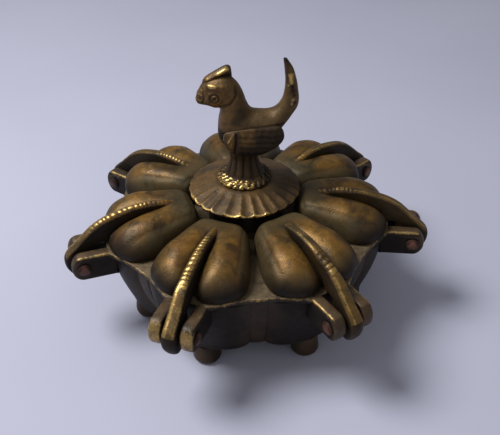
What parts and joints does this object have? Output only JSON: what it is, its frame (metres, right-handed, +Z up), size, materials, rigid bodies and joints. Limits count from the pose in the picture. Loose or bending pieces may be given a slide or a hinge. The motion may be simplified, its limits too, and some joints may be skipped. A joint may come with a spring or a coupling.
{
  "type": "kumkum box",
  "caption": "Flower-shaped aged brass kumkum box: hinged petal lids over powder compartments, short feet, a fluted collar and a bird knob that unscrews.",
  "frame": {"origin": "centre of the tray's flat underside", "axes": "+Z up; the bird faces -X; petal 1 is the front left petal near -Y, and the others follow anticlockwise as seen from above"},
  "size_m": [0.1076, 0.1066, 0.0798],
  "materials": {
    "aged_brass_body": "cast brass with a dark brown patina, rubbed on its edges",
    "aged_brass_lids": "cast brass with a brown patina, worn warm and bright on crowns and ridges",
    "aged_brass_knob": "cast brass with a brown patina, worn where fingers hold it",
    "copper_rivet": "dull copper, peened ends",
    "stem_brass": "bare turned brass"
  },
  "bodies": {
    "base": {"body": "aged_brass_body", "hinge_pin_1": "copper_rivet", "hinge_pin_2": "copper_rivet", "hinge_pin_3": "copper_rivet", "hinge_pin_4": "copper_rivet", "hinge_pin_5": "copper_rivet", "hinge_pin_6": "copper_rivet", "hinge_pin_7": "copper_rivet", "foot_1": "aged_brass_body", "foot_2": "aged_brass_body", "foot_3": "aged_brass_body", "foot_4": "aged_brass_body", "foot_5": "aged_brass_body", "foot_6": "aged_brass_body", "foot_7": "aged_brass_body"},
    "lid_1": {"petal_lid_1": "aged_brass_lids"},
    "lid_2": {"petal_lid_2": "aged_brass_lids"},
    "lid_3": {"petal_lid_3": "aged_brass_lids"},
    "lid_4": {"petal_lid_4": "aged_brass_lids"},
    "lid_5": {"petal_lid_5": "aged_brass_lids"},
    "lid_6": {"petal_lid_6": "aged_brass_lids"},
    "lid_7": {"petal_lid_7": "aged_brass_lids"},
    "collar": {"lotus_collar": "aged_brass_knob"},
    "knob": {"bird_knob": "aged_brass_knob", "knob_stem": "stem_brass"}
  },
  "joints": [
    {"name": "lid_1_hinge", "type": "hinge", "parent": "base", "child": "lid_1", "pos_m": [-0.01824, -0.04655, 0.0192], "axis": [0.9311, -0.3649, 0], "range_deg": [0, 110]},
    {"name": "lid_2_hinge", "type": "hinge", "parent": "base", "child": "lid_2", "pos_m": [0.02615, -0.04262, 0.0192], "axis": [0.8524, 0.5229, 0], "range_deg": [0, 110]},
    {"name": "lid_3_hinge", "type": "hinge", "parent": "base", "child": "lid_3", "pos_m": [0.04967, -0.0057, 0.0192], "axis": [0.1139, 0.9935, 0], "range_deg": [0, 110]},
    {"name": "lid_4_hinge", "type": "hinge", "parent": "base", "child": "lid_4", "pos_m": [0.03711, 0.03351, 0.0192], "axis": [-0.6702, 0.7421, 0], "range_deg": [0, 110]},
    {"name": "lid_5_hinge", "type": "hinge", "parent": "base", "child": "lid_5", "pos_m": [-0.00245, 0.04994, 0.0192], "axis": [-0.9988, -0.0491, 0], "range_deg": [0, 110]},
    {"name": "lid_6_hinge", "type": "hinge", "parent": "base", "child": "lid_6", "pos_m": [-0.04032, 0.02957, 0.0192], "axis": [-0.5914, -0.8064, 0], "range_deg": [0, 110]},
    {"name": "lid_7_hinge", "type": "hinge", "parent": "base", "child": "lid_7", "pos_m": [-0.04764, -0.01518, 0.0192], "axis": [0.3036, -0.9528, 0], "range_deg": [0, 110]},
    {"name": "knob_rise", "type": "slide", "parent": "base", "child": "collar", "axis": [0, 0, 1], "range_m": [0, 0.005]},
    {"name": "knob_turn", "type": "hinge", "parent": "collar", "child": "knob", "pos_m": [0, 0, 0.0338], "axis": [0, 0, 1], "range_deg": [0, 905]}
  ],
  "couplings": [
    {"joint": "knob_turn", "follows": "knob_rise", "rad_per_m": 3141.6}
  ]
}
